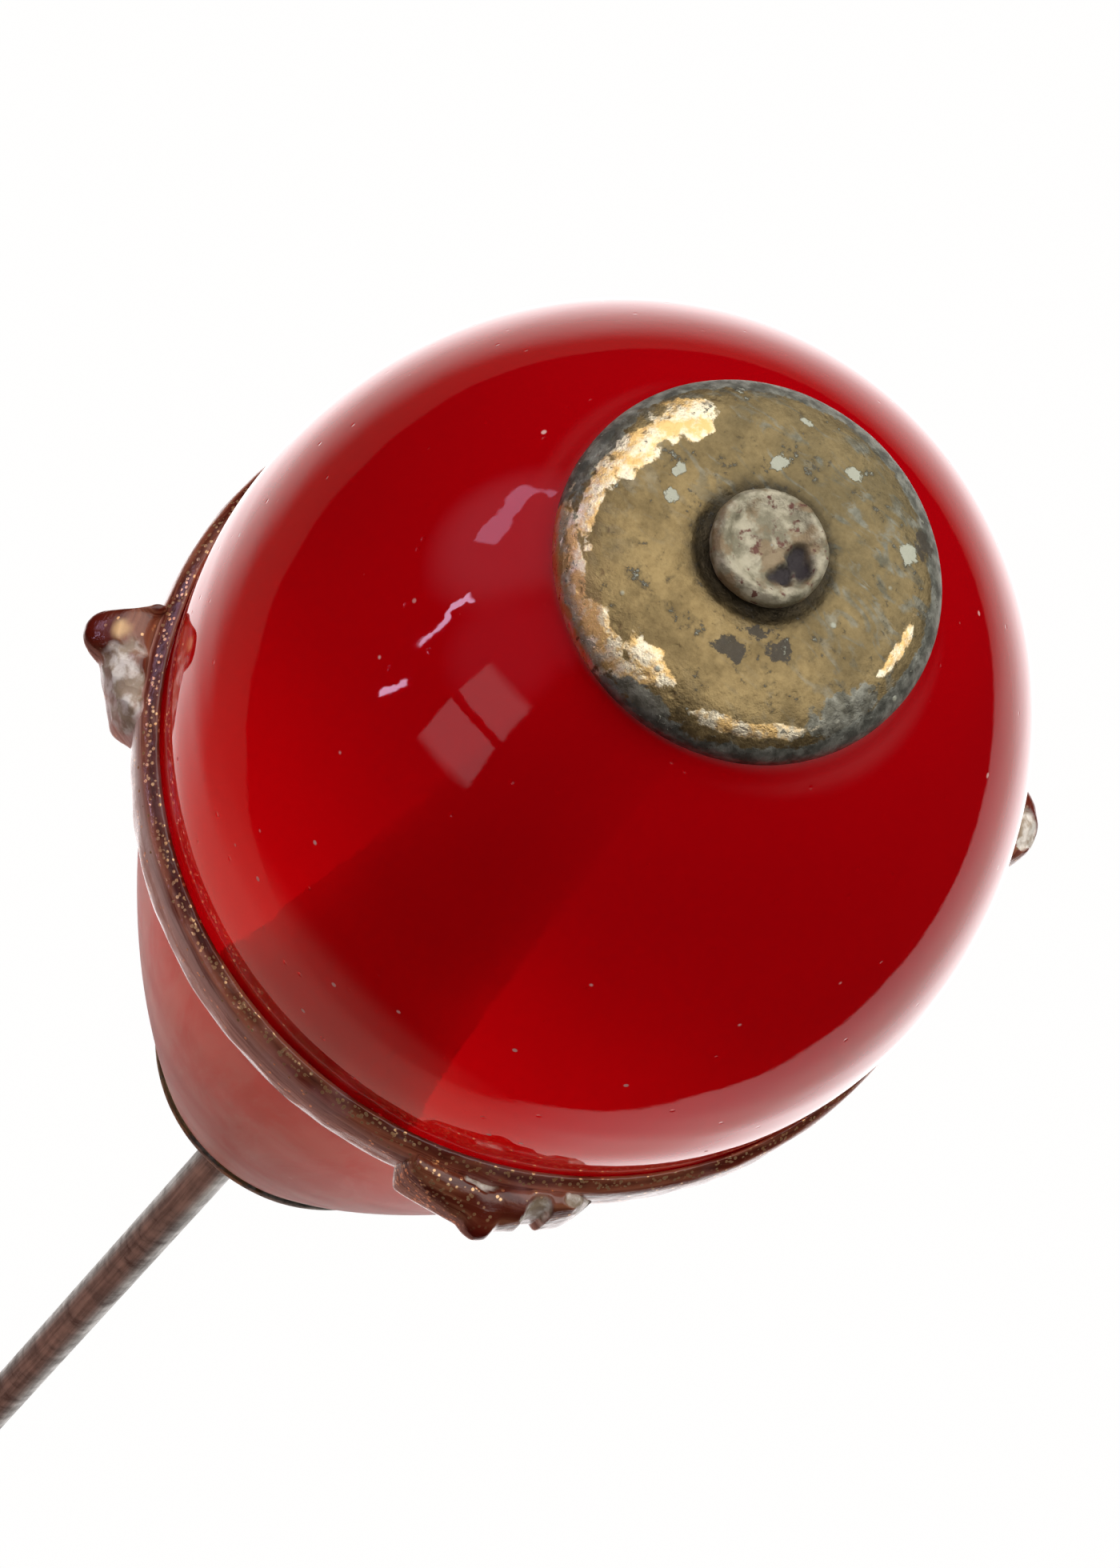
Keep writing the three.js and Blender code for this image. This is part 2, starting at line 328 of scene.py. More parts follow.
def glass_head():
    heights, radii = outer_profile("glass_head")
    foot, crown = heights[:3], heights[-1]
    shoulder = foot[2]
    rise = np.linspace(0, 1, 200)
    z = shoulder + (crown - shoulder) * (1 - (1 - rise) ** 1.5)
    curve = heights >= shoulder
    r = smooth_between(z, heights[curve], radii[curve])
    foot_r = radii[0] + 0.1
    bore = rings_of("glass_head")[:, 0].min()
    z = np.concatenate([[foot[0], foot[1], shoulder], z, [crown, foot[0]]])
    r = np.concatenate([[radii[0], foot_r, foot_r], r, [bore, bore]])
    azimuths, x, y, z = ring_grid(r, z, 256)
    # blown and tooled by hand: the section is a little out of round and drifts up the head
    angle = np.radians(azimuths)[None, :]
    free = smoothstep(shoulder, shoulder + 4, z) * smoothstep(crown, crown - 3, z)
    out = 1 - free * (0.003 + 0.003 * np.sin(2 * angle + 0.25 * z))
    made = turned_object("glass_head_ruby", x * out, y * out, z, closed=True)
    return finish_piece(made, ruby_glass(), "glass_head")


# ---- Goldstone trail and points -----------------------------------------------------------------


def goldstone(name, body_dark, body_light, flake_share, chips=False):
    """Brown glass full of copper flakes; flake_share is how much of it glitters. Reads the painted masks
    edge and glitter, pale (a painted reflection of the bright paper), and with chips also nose, glow (a
    painted highlight) and chip."""
    n = Skin(name)
    lines = n.noise((0.28, 0.28, 5.0), detail=4.0, distortion=0.5)
    body = n.mix(n.ramp(lines, 0.40, 0.62), body_dark, body_light)
    body = n.mix(n.ramp(n.noise(0.55, detail=3.0), 0.54, 0.70, 0, 0.6), body, rgb(0.42, 0.20, 0.19))
    # painted reflection: pale pinkish beige streaks where the trail and the west point face the bright paper
    paper_sheen = n.mix(n.ramp(lines, 0.38, 0.55), rgb(0.62, 0.36, 0.29), rgb(0.92, 0.70, 0.62))
    body = n.mix(n.painted("paper_sheen"), body, paper_sheen)
    body = n.mix(n.painted("edge"), body, rgb(0.045, 0.010, 0.006))
    flakes = n.math("ADD", n.cells(12, "Color"), n.math("MULTIPLY", n.painted("glitter"), 0.42))
    flakes = n.ramp(flakes, 1 - flake_share, 1.03 - flake_share)
    flakes = n.math("MULTIPLY", flakes, n.ramp(n.cells(12), 0.50, 0.34))
    copper = n.mix(n.noise(5, detail=1.0), rgb(0.85, 0.36, 0.12), rgb(0.95, 0.72, 0.42))
    body = n.mix(flakes, body, copper)
    rough = n.ramp(n.noise(1.4), 0.3, 0.7, 0.10, 0.28)
    metal = n.math("MULTIPLY", flakes, 0.7)
    normal = n.bump(lines, 0.035, 0.7)
    normal = n.bump(n.noise(2.6, detail=4.0), 0.05, 0.6, normal=normal)
    if chips:
        nose = n.painted("nose")
        body = n.mix(nose, body, rgb(0.13, 0.012, 0.006))
        metal = n.math("MULTIPLY", metal, n.ramp(nose, 0, 1, 1, 0.2))
        rough = n.math("MULTIPLY", rough, n.ramp(nose, 0, 1, 1, 0.5))
        # painted highlight: an orange-gold spot near the west point's nose stands in for light shining through
        # it
        body = n.mix(n.painted("glow"), body, rgb(1.0, 0.66, 0.30))
        chip = n.painted("chip")
        crumbs = n.ramp(n.noise(3.0, detail=4.0), 0.40, 0.62)
        cream = n.mix(crumbs, rgb(0.46, 0.36, 0.25), rgb(0.98, 0.94, 0.84))
        body = n.mix(chip, body, cream)
        metal = n.math("MULTIPLY", metal, n.ramp(chip, 0, 0.5, 1, 0))
        rough = n.math("MAXIMUM", rough, n.math("MULTIPLY", chip, 0.38))
        normal = n.bump(n.cells(2.4), 0.12, n.math("MULTIPLY", chip, 0.9), normal=normal)
    return n.set(
        Base_Color=body,
        Metallic=metal,
        Roughness=rough,
        IOR=1.52,
        Coat_Weight=0.3,
        Coat_Roughness=0.06,
        Normal=normal,
    )


TRAIL_FULL_SIDE = 240  # the azimuth where the trail is thickest
# the azimuth where the trail's painted reflection of the paper is brightest
TRAIL_SHEEN_SIDE = 226
TRAIL_SURFACE = 8.9  # the radius where a point's outline meets the trail
BEAD_LINE = 0.965  # how far up the trail its row of beads runs


def goldstone_trail():
    heights, radii = outer_profile("goldstone_trail")
    low, high = heights[0], heights[-1]
    turn = np.linspace(0, 1, 26)
    z = low + (high - low) * (1 - np.cos(np.pi * turn)) / 2
    r = smooth_between(z, heights, radii)
    inner = rings_of("goldstone_trail")
    back_z = np.linspace(high, low, 8)
    back_r = np.array([inner[np.abs(inner[:, 1] - h).argmin()][0] for h in back_z]) - 0.02
    azimuths, x, y, z = ring_grid(np.concatenate([r, back_r]), np.concatenate([z, back_z]), 720)
    front = np.zeros_like(z)
    front[: len(r)] = 1
    share = (z - low) / (high - low)
    # laid on by hand: fuller on one side, where the glass was dropped on, and wavy along its edges
    fullness = 0.75 + 0.25 * np.cos(np.radians(turn_gap(azimuths, TRAIL_FULL_SIDE)))[None, :]
    proud = np.hypot(x, y) - np.interp(z, back_z[::-1], back_r[::-1])
    lumps = 0.05 * grain(x, y, 0, 1.7, 1) + 0.035 * grain(x, y, z, 0.6, 2)
    bead_line = np.exp(-(((share - BEAD_LINE) / 0.035) ** 2))
    beads = 0.045 * bead_line * (0.4 + 0.6 * grain(x, y, 0, 0.16, 3))
    shift = front * (proud * (fullness - 1) + (lumps - 0.06) * np.sin(np.pi * share) + beads)
    out = 1 + shift / np.hypot(x, y)
    wave = front * (0.10 * grain(x, y, 0, 2.4, 4) + 0.04 * grain(x, y, 0, 0.7, 5)) * (0.35 + 0.65 * share)
    made = turned_object("goldstone_trail_glass", x * out, y * out, z + wave, closed=True)
    paint(made, "edge", bead_line * (0.7 + 0.3 * grain(x, y, 0, 0.3, 6)) * front)
    paint(made, "glitter", bead_line * front)
    # painted reflection of the paper on the trail's lower, outer side, strongest round azimuth 226
    lit_side = 0.12 + 0.83 * np.exp(-((turn_gap(azimuths, TRAIL_SHEEN_SIDE) / 30) ** 2))[None, :]
    paint(made, "paper_sheen", lit_side * smoothstep(0.93, 0.80, share) * front)
    material = goldstone("goldstone_trail", rgb(0.17, 0.022, 0.010), rgb(0.50, 0.16, 0.085), 0.20)
    return finish_piece(made, material, "goldstone_trail")


# Chips in the points: (azimuth of the middle, half width in degrees, radius of the middle, half width in
# mm, depth in mm of the notch that the chip leaves in the point's edge).
CHIPS = {
    "point_east": [(39.2, 2.4, 10.05, 0.32, 0.0)],
    "point_north": [(128, 3, 9.3, 0.3, 0.0)],
    "point_west": [(213.5, 6.5, 9.2, 0.5, 0.03)],
    "point_south": [(314.5, 5, 8.75, 0.26, 0.0), (306.5, 1.7, 9.2, 0.4, 0.16), (298.5, 2.2, 8.72, 0.12, 0.0)],
}
# Where each point glitters most: (azimuth, half width), in degrees.
GLITTER = {"point_south": (292.5, 5.5), "point_west": (196, 4), "point_east": (46, 4), "point_north": (117, 4)}


def node_polar(node):
    """A CAD node's corners as azimuth in degrees, radius and height in mm."""
    corners = np.array([v.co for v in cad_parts[node].data.vertices]) / MM
    azimuths = np.degrees(np.arctan2(corners[:, 1], corners[:, 0])) % 360
    return azimuths, np.hypot(corners[:, 0], corners[:, 1]), corners[:, 2]


def goldstone_point(node, seed, material):
    """One point drawn out of the trail, with the outline of its CAD node and chips in its upper side."""
    azimuths, radii, heights = node_polar(node)
    tip = azimuths[radii.argmax()]
    crest = heights[radii.argmax()]
    # the outline at the crest: the widest corner in each degree, and the two ends of the point
    gaps = turn_gap(azimuths, tip)
    ridge = (np.abs(heights - crest) < 0.02) & (radii > radii.min() + 0.24)
    spans = [ridge & (np.abs(gaps - place) < 0.5) for place in np.arange(gaps.min(), gaps.max() + 1)]
    found = sorted((gaps[span][radii[span].argmax()], radii[span].max()) for span in spans if span.any())
    found = [(gaps.min() - 0.3, TRAIL_SURFACE), *found, (gaps.max() + 0.3, TRAIL_SURFACE)]
    outline, edge = (np.array(column) for column in zip(*sorted(set(found))))
    slices = np.linspace(outline[0] + 0.01, outline[-1] - 0.01, 120)
    reach = smooth_between(slices, outline, edge)
    where = tip + slices
    root = edge.min() - 0.35  # inside the trail
    rise = (reach - edge.min()) / (edge.max() - edge.min())
    for middle, half, _, _, depth in CHIPS[node]:
        bite = smoothstep(half, half * 0.6, np.abs(turn_gap(where, middle)))
        reach = reach - depth * bite
    taper = smoothstep(0, 2, slices - slices[0]) ** 0.35 * smoothstep(0, 4.5, slices[-1] - slices) ** 0.5
    reach = root + (reach - root) * (0.06 + 0.94 * taper)
    # a wedge: as tall as the trail where it leaves it, and thinner towards its nose
    loop = np.linspace(0, -2 * np.pi, 56, endpoint=False)
    out_share = 0.5 + 0.5 * (np.sign(np.cos(loop)) * np.abs(np.cos(loop)) ** 0.75)[None, :]
    round_off = (np.sign(np.sin(loop)) * np.abs(np.sin(loop)) ** 0.8)[None, :]
    nose_half = (0.93 + (0.40 - 0.93) * smoothstep(0, 1, rise))[:, None]
    half_height = (0.97 + (nose_half - 0.97) * out_share) * (0.2 + 0.8 * taper**2)[:, None]
    r = root + (reach - root)[:, None] * out_share
    z = crest + half_height * round_off
    angle = np.radians(where)[:, None]
    x, y = r * np.cos(angle), r * np.sin(angle)
    outward = smoothstep(root + 0.3, root + 0.7, r)
    lumps = 0.045 * grain(x, y, z, 0.8, seed) + 0.02 * grain(x, y, z, 0.25, seed + 1)
    chip = np.zeros_like(r)
    for middle, half, middle_radius, half_radius, _ in CHIPS[node]:
        across = turn_gap(where, middle)[:, None] / half
        along = (r - middle_radius) / half_radius
        ragged = 0.35 * grain(x, y, z, 0.3, seed + 2)
        chip = np.maximum(chip, smoothstep(1.15, 0.85, np.hypot(across, along) + ragged) * (z > crest - 0.15))
    z = z - chip * (0.10 + 0.08 * grain(x, y, z, 0.35, seed + 3)) * np.sign(z - crest)
    out = 1 + outward * (lumps * (1 - 0.8 * rise[:, None]) - 0.015) / r
    made = turned_object(f"{node}_goldstone", x * out, y * out, z, closed=False)
    paint(made, "chip", chip)
    paint(made, "nose", smoothstep(0.55, 0.95, rise[:, None] * out_share))
    # painted highlight near the west point's nose, only on the west point
    glow = np.hypot(turn_gap(where, tip + 0.5)[:, None] / 1.5, (r - edge.max() + 0.62) / 0.17)
    paint(made, "glow", smoothstep(1.2, 0.3, glow) * (z > crest) * (node == "point_west"))
    # painted reflection of the paper on the far part of the west point
    paint(made, "paper_sheen", smoothstep(9, 12, slices)[:, None] * (node == "point_west") + 0 * r)
    middle, half = GLITTER[node]
    paint(made, "glitter", np.exp(-((turn_gap(where, middle)[:, None] / half) ** 2)) + 0 * r)
    return finish_piece(made, material, node)


# ---- Metalwork ----------------------------------------------------------------------------------

CAP_WALL = 0.22  # the height of the upright rim
CAP_FLAT = 2.1  # radii of the flat top, of the dish in it and of the hole for the shank
CAP_DISH = 1.4
CAP_HOLE = 0.6
CAP_THICKNESS = 0.3

# Wear on the upper cap, and a painted highlight on its left rim, as (azimuth, half width in degrees, radius,
# half width in mm, strength from 0 to 1).
# bare gold where the cap is worn; the spots on the left rim, azimuths 220 to 240 at radius 3.7 mm, are a
# painted white-gold highlight
GILT_AND_RIM_GLINT = [
    (160, 11, 2.95, 0.42, 1.0),
    (182, 14, 3.05, 0.30, 1.0),
    (205, 16, 3.35, 0.16, 1.0),
    (228, 14, 3.55, 0.13, 0.9),
    (250, 14, 3.50, 0.20, 1.0),
    (220, 15, 3.70, 0.13, 1.0),
    (240, 15, 3.68, 0.15, 1.0),
    (266, 11, 3.20, 0.30, 0.8),
    (305, 18, 3.38, 0.12, 1.0),
    (8, 13, 3.10, 0.10, 1.0),
]
BLACK_SCARS = [
    (290, 9, 2.05, 0.22, 1.0),
    (304, 9, 1.62, 0.14, 1.0),
    (317, 8, 1.90, 0.20, 0.9),
    (50, 5, 3.25, 0.22, 0.9),
]
GREY_BLOTCHES = [
    (337, 14, 3.25, 0.32, 0.9),
    (271, 9, 3.60, 0.18, 0.9),
    (20, 34, 3.62, 0.22, 0.7),
    (188, 20, 3.62, 0.26, 0.8),
]
VERDIGRIS = [
    (111, 3, 2.88, 0.08, 1.0),
    (192, 4, 2.03, 0.14, 1.0),
    (120, 5, 1.85, 0.16, 1.0),
    (46, 3.5, 2.87, 0.16, 1.0),
    (84, 4, 2.5, 0.12, 1.0),
    (178, 4, 2.2, 0.1, 1.0),
]


def patches(spots, azimuths, r, ragged):
    """How far each point lies inside any of the spots, from 0 to 1, with ragged edges."""
    cover = np.zeros_like(r)
    for middle, half, radius, half_radius, strength in spots:
        away = np.hypot(turn_gap(azimuths, middle)[None, :] / half, (r - radius) / half_radius)
        cover = np.maximum(cover, strength * smoothstep(1.5, 0.6, away + ragged))
    return cover


def aged_brass():
    n = Skin("aged_gilt_brass")
    mottle = n.noise(0.9, detail=6.0, roughness=0.65)
    middle = n.noise(2.4, detail=5.0, roughness=0.65)
    fine = n.noise(6, detail=4.0, roughness=0.7)
    grit = n.math("ADD", n.math("MULTIPLY", middle, 0.6), n.math("MULTIPLY", fine, 0.6))
    grit = n.math("SUBTRACT", grit, 0.6)

    def worn(name, spread=2.2, low=0.35, high=0.65):
        """A painted mask with its edge broken up by the grit."""
        return n.ramp(n.math("ADD", n.painted(name), n.math("MULTIPLY", grit, spread)), low, high)

    olive = n.mix(n.ramp(mottle, 0.35, 0.65), rgb(0.215, 0.155, 0.068), rgb(0.37, 0.27, 0.12))
    olive = n.mix(n.ramp(middle, 0.52, 0.68, 0, 0.6), olive, rgb(0.13, 0.097, 0.047))
    grey = n.mix(n.ramp(n.noise(3.5), 0.35, 0.7), rgb(0.13, 0.135, 0.11), rgb(0.38, 0.39, 0.33))
    streaks = n.ramp(n.noise((1.0, 2.6, 2.6), detail=5.0, distortion=1.2), 0.50, 0.64)
    # greyer streaks and a darker olive over the side of the cap round azimuth 75
    colour = n.mix(n.math("MULTIPLY", n.painted("greyer_side"), streaks), olive, grey)
    colour = n.mix(n.math("MULTIPLY", n.painted("greyer_side"), 0.45), colour, rgb(0.15, 0.132, 0.075))
    rim = n.math("MAXIMUM", worn("rim"), n.math("MULTIPLY", worn("grey"), 0.85))
    colour = n.mix(rim, colour, grey)
    # bare gold, and on the left rim a painted white-gold highlight
    gilt_and_glint = worn("gilt_and_glint")
    gold = n.mix(n.ramp(middle, 0.42, 0.6), rgb(0.90, 0.60, 0.24), rgb(1.0, 0.90, 0.66))
    colour = n.mix(gilt_and_glint, colour, gold)
    scar = n.math("MULTIPLY", worn("scar", 4.2), 0.9)
    colour = n.mix(scar, colour, rgb(0.045, 0.036, 0.022))
    specks = n.math("MULTIPLY", n.ramp(n.cells(1.6), 0.13, 0.05), n.ramp(n.cells(1.6, "Color"), 0.62, 0.66))
    green = n.math("MAXIMUM", specks, worn("verdigris", 3.0))
    colour = n.mix(green, colour, rgb(0.48, 0.50, 0.39))
    colour = n.mix(n.painted("shade"), colour, rgb(0.03, 0.025, 0.018))
    dull = n.math("MAXIMUM", n.math("MAXIMUM", green, scar), n.math("MULTIPLY", rim, 0.35))
    normal = n.bump(mottle, 0.12, 0.6)
    normal = n.bump(fine, 0.025, 0.8, normal=normal)
    normal = n.bump(n.ramp(n.cells(2.3), 0.05, 0.22), 0.03, 0.5, normal=normal)
    normal = n.bump(green, 0.03, 0.6, normal=normal)
    return n.set(
        Base_Color=colour,
        Metallic=n.ramp(dull, 0, 1, 0.85, 0.1),
        Roughness=n.math("SUBTRACT", n.ramp(fine, 0.3, 0.7, 0.38, 0.62), n.math("MULTIPLY", gilt_and_glint, 0.14)),
        Normal=normal,
    )


def cap_shape(height):
    """A cap laid rim down: radii and heights in mm, from the rim's outer edge over the top and back inside,
    and how many of them are on the outside."""
    edge = widest_radius("upper_cap")
    bend = np.linspace(0, np.pi / 2, 34)
    over_r = CAP_FLAT + (edge - CAP_FLAT) * np.cos(bend)
    over_z = CAP_WALL + (height - CAP_WALL) * np.sin(bend)
    flat_r = np.linspace(CAP_FLAT, CAP_DISH + 0.05, 8)[1:]
    dish_r = np.linspace(CAP_DISH, CAP_HOLE, 10)
    dish_z = height - 0.06 * smoothstep(CAP_DISH + 0.02, CAP_DISH - 0.12, dish_r)
    under_r = CAP_FLAT + (edge - CAP_THICKNESS - CAP_FLAT) * np.cos(bend[::-4])
    under_z = CAP_WALL + (height - CAP_THICKNESS - CAP_WALL) * np.sin(bend[::-4])
    outside_r = [[edge - 0.07, edge], over_r, flat_r, dish_r]
    outside_z = [[0, 0.06], over_z, 0 * flat_r + height, dish_z]
    r = np.concatenate([*outside_r, [CAP_HOLE], under_r, [edge - CAP_THICKNESS]])
    z = np.concatenate([*outside_z, [height - CAP_THICKNESS], under_z, [0]])
    return r, z, sum(map(len, outside_r))


def brass_cap(name, node, rim_down, seed, worn, material):
    """A domed cap in its CAD node's place; worn gives it the scars and worn-through gold of the upper one, and
    a painted white-gold highlight on its left rim.
    """
    low, high = (corner.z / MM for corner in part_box(node))
    r, z, outside = cap_shape(high - low)
    azimuths, x, y, z = ring_grid(r, z, 288)
    radius = np.hypot(x, y)
    top = np.zeros_like(z)
    top[:outside] = 1
    # hammered over the glass by hand: shallow dents, and a rim that wanders
    dents = -0.05 * np.abs(grain(x, y, 0, 1.5, seed)) - 0.02 * np.abs(grain(x, y, 0, 0.5, seed + 1))
    z = z + dents * smoothstep(0, 0.3, z) * smoothstep(4.0, 3.4, radius)
    pull = 1 - 0.006 * (0.5 + 0.5 * grain(x, y, 0, 2.5, seed + 2)) * smoothstep(2.5, 3.6, radius)
    # rim up, the rings run the other way, so that the faces still look outwards
    way = 1 if rim_down else -1
    height = low + z if rim_down else high - z
    made = turned_object(name, (x * pull)[::way], (y * pull)[::way], height[::way], closed=True)
    ragged = 0.45 * grain(x, y, 0, 0.35, seed + 3) + 0.25 * grain(x, y, 0, 0.14, seed + 4)
    # round azimuth 228 the grey rim band moves outwards, so the bare gold and the painted white-gold highlight
    # reach the rim's edge
    band = 3.50 + 0.22 * np.cos(np.radians(turn_gap(azimuths, 258)))[None, :]
    band = band + 0.3 * np.exp(-((turn_gap(azimuths, 228) / 24) ** 2))[None, :]
    rim = smoothstep(band - 0.12, band + 0.14, radius + 0.10 * grain(x, y, 0, 0.8, seed + 5)) * top
    # strongest on the side of the cap round azimuth 75, where it is made greyer and darker
    greyer_side = top * (0.5 + 0.5 * np.cos(np.radians(turn_gap(azimuths, 75)))[None, :])
    paint(made, "rim", rim[::way])
    paint(made, "greyer_side", greyer_side[::way])
    if worn:
        wear_and_glint = {"gilt_and_glint": GILT_AND_RIM_GLINT, "scar": BLACK_SCARS, "grey": GREY_BLOTCHES, "verdigris": VERDIGRIS}
        for mask, spots in wear_and_glint.items():
            paint(made, mask, patches(spots, azimuths, radius, ragged) * top)
        paint(made, "shade", 0.85 * smoothstep(1.62, 1.2, radius + 0.2 * ragged) * top)
    return finish_piece(made, material, node)


def browned_steel():
    n = Skin("browned_steel")
    drawn = n.noise((9, 9, 0.25), detail=3.0)
    mottle = n.noise(1.1, detail=6.0, roughness=0.7)
    colour = n.mix(n.ramp(drawn, 0.35, 0.7), rgb(0.15, 0.155, 0.135), rgb(0.33, 0.345, 0.305))
    colour = n.mix(n.ramp(mottle, 0.55, 0.72, 0, 0.8), colour, rgb(0.07, 0.035, 0.02))
    head = n.painted("head")
    crust = n.mix(n.ramp(n.noise(2.6, detail=5.0), 0.38, 0.62), rgb(0.24, 0.22, 0.145), rgb(0.52, 0.48, 0.35))
    crust = n.mix(n.ramp(n.noise(1.7, detail=4.0), 0.48, 0.60, 0, 0.8), crust, rgb(0.27, 0.19, 0.10))
    crust = n.mix(n.ramp(n.noise(4.2, detail=3.0), 0.58, 0.68), crust, rgb(0.16, 0.07, 0.05))
    colour = n.mix(head, colour, crust)
    # painted shade: the pit in the rivet's face is painted near black
    colour = n.mix(n.painted("shaded_pit"), colour, rgb(0.035, 0.028, 0.03))
    normal = n.bump(drawn, 0.01, 0.5)
    crusty = n.ramp(head, 0, 1, 0.15, 0.9)
    normal = n.bump(n.noise(3.5, detail=6.0, roughness=0.7), 0.06, crusty, normal=normal)
    return n.set(
        Base_Color=colour,
        Metallic=n.ramp(head, 0, 1, 0.9, 0.45),
        Roughness=n.math("ADD", n.ramp(mottle, 0.3, 0.7, 0.30, 0.5), n.math("MULTIPLY", head, 0.12)),
        Normal=normal,
    )


def riveted_shank():
    heights, radii = outer_profile("pin_shank")
    tip, top, rivet = heights[0], heights[-1], radii.max()
    rivet_low = heights[radii > 0.9 * rivet].min()
    wire = radii[heights < rivet_low].max()
    taper_top = heights[radii >= wire].min()
    taper = np.linspace(tip, taper_top, 40)
    taper_r = np.maximum(np.interp(taper, heights, radii), 0.02)
    shaft = np.linspace(taper_top, rivet_low, 60)[1:]
    bulge = np.linspace(-np.pi / 2, np.pi / 2, 22)
    middle = (rivet_low + top) / 2
    bulge_r = rivet - 0.16 + 0.16 * np.cos(bulge) ** 0.7
    bulge_z = middle + (top - rivet_low) / 2 * np.sin(bulge)
    face_r = np.linspace(rivet - 0.18, 0.04, 16)
    r = np.concatenate([taper_r, 0 * shaft + wire, bulge_r, face_r])
    z = np.concatenate([taper, shaft, bulge_z, 0 * face_r + top])
    azimuths, x, y, z = ring_grid(r, z, 96)
    radius = np.hypot(x, y)
    head = smoothstep(rivet_low - 0.02, rivet_low + 0.03, z) * (radius < rivet + 0.1)
    # peened by hand: an uneven outline, a raised lip on one side and a deep pit on the other
    angle = azimuths[None, :]
    outline = 1 - head * (0.03 + 0.035 * grain(x, y, 0, 0.9, 21) + 0.02 * grain(x, y, 0, 0.3, 22))
    face = smoothstep(middle, top, z) * head
    shaded_pit = np.zeros_like(radius)
    for place, half, at, half_at in ((22, 34, 0.55, 0.24), (335, 30, 0.60, 0.22), (2, 22, 0.78, 0.16)):
        away = np.hypot(turn_gap(angle, place) / half, (radius - at) / half_at)
        shaded_pit = np.maximum(shaded_pit, smoothstep(1.2, 0.6, away + 0.4 * grain(x, y, 0, 0.22, 23)))
    shaded_pit = shaded_pit * face
    dish = 0.10 * smoothstep(1.05, 0.7, radius)
    lip = 0.07 * np.exp(-(((radius - 0.95) / 0.12) ** 2)) * (0.5 + 0.5 * np.cos(np.radians(angle - 250)))
    rough = 0.09 * np.abs(grain(x, y, 0, 0.42, 24)) + 0.05 * np.abs(grain(x, y, 0, 0.16, 25))
    z = z - face * (0.07 + dish - lip + rough) - 0.16 * shaded_pit
    made = turned_object("pin_shank_steel", x * outline, y * outline, z, closed=False)
    paint(made, "head", head)
    # the pit is sunk into the face and also painted near black as shade
    paint(made, "shaded_pit", shaded_pit)
    return finish_piece(made, browned_steel(), "pin_shank")


def soft_solder():
    n = Skin("soft_solder")
    mottle = n.noise(2.2, detail=5.0)
    return n.set(
        Base_Color=n.mix(n.ramp(mottle, 0.35, 0.7), rgb(0.10, 0.095, 0.085), rgb(0.26, 0.25, 0.23)),
        Metallic=0.8,
        Roughness=n.ramp(mottle, 0.3, 0.7, 0.35, 0.6),
        Normal=n.bump(n.noise(3.5, detail=4.0), 0.06, 0.8),
    )


def solder_fillet():
    heights, radii = outer_profile("solder_fillet")
    z = np.linspace(heights[0], heights[-1], 40)
    r = smooth_between(z, heights, radii)
    bore = rings_of("solder_fillet")[:, 0].min()
    z, r = np.concatenate([z, z[[-1, 0]]]), np.concatenate([r, [bore, bore]])
    _, x, y, z = ring_grid(r, z, 96)
    free = (np.hypot(x, y) > bore + 0.04) * smoothstep(heights[-1], heights[-1] - 0.25, z)
    out = 1 - free * (0.05 + 0.05 * grain(x, y, z, 0.5, 31))
    made = turned_object("solder_fillet_tin", x * out, y * out, z, closed=True)
    return finish_piece(made, soft_solder(), "solder_fillet")


# ---- Assembly -----------------------------------------------------------------------------------

WAIST = waist_height()
glass_head()
goldstone_trail()
points_glass = goldstone("goldstone_points", rgb(0.13, 0.022, 0.010), rgb(0.36, 0.13, 0.065), 0.14, chips=True)
for order, point in enumerate(CHIPS):
    goldstone_point(point, 40 + 7 * order, points_glass)
brass = aged_brass()
brass_cap("upper_cap_brass", "upper_cap", rim_down=True, seed=11, worn=True, material=brass)
brass_cap("lower_cap_brass", "lower_cap", rim_down=False, seed=61, worn=False, material=brass)
riveted_shank()
solder_fillet()


# ---- Stage, light and camera --------------------------------------------------------------------

waist = Vector((0, 0, WAIST * MM))

VIEW_TILT = radians(25)  # between the shank and the line of sight
VIEW_ROLL = radians(42.08)
VIEW_DISTANCE = 142.857 * MM
VIEW_SHIFT = Vector((-0.617, -0.763)) * MM  # the head is a little off the middle of the picture

back = Vector((0, -sin(VIEW_TILT), cos(VIEW_TILT)))
level_up = Vector((0, cos(VIEW_TILT), sin(VIEW_TILT)))
right = cos(VIEW_ROLL) * Vector((1, 0, 0)) + sin(VIEW_ROLL) * level_up
up = back.cross(right)

camera = bpy.data.objects.new("camera", bpy.data.cameras.new("camera"))
scene.collection.objects.link(camera)
camera.data.lens = 165.3
camera.data.sensor_width = 36
camera.data.clip_start = 0.005
camera.data.clip_end = 20
place = waist + back * VIEW_DISTANCE + right * VIEW_SHIFT.x + up * VIEW_SHIFT.y
turn = Matrix((right, up, back)).transposed().to_4x4()
camera.matrix_world = Matrix.Translation(place) @ turn
scene.camera = camera


def pale_paper(name):
    material = bpy.data.materials.new(name)
    material.use_nodes = True
    tree = material.node_tree
    tree.nodes.remove(tree.nodes["Principled BSDF"])
    light = tree.nodes.new("ShaderNodeEmission")
    light.inputs["Color"].default_value = rgb(1, 0.995, 0.99)
    light.inputs["Strength"].default_value = 1.0
    tree.links.new(light.outputs[0], tree.nodes["Material Output"].inputs["Surface"])
    return material


def seen_by_camera_only(made):
    made.visible_glossy = made.visible_transmission = made.visible_diffuse = False
    made.visible_shadow = False


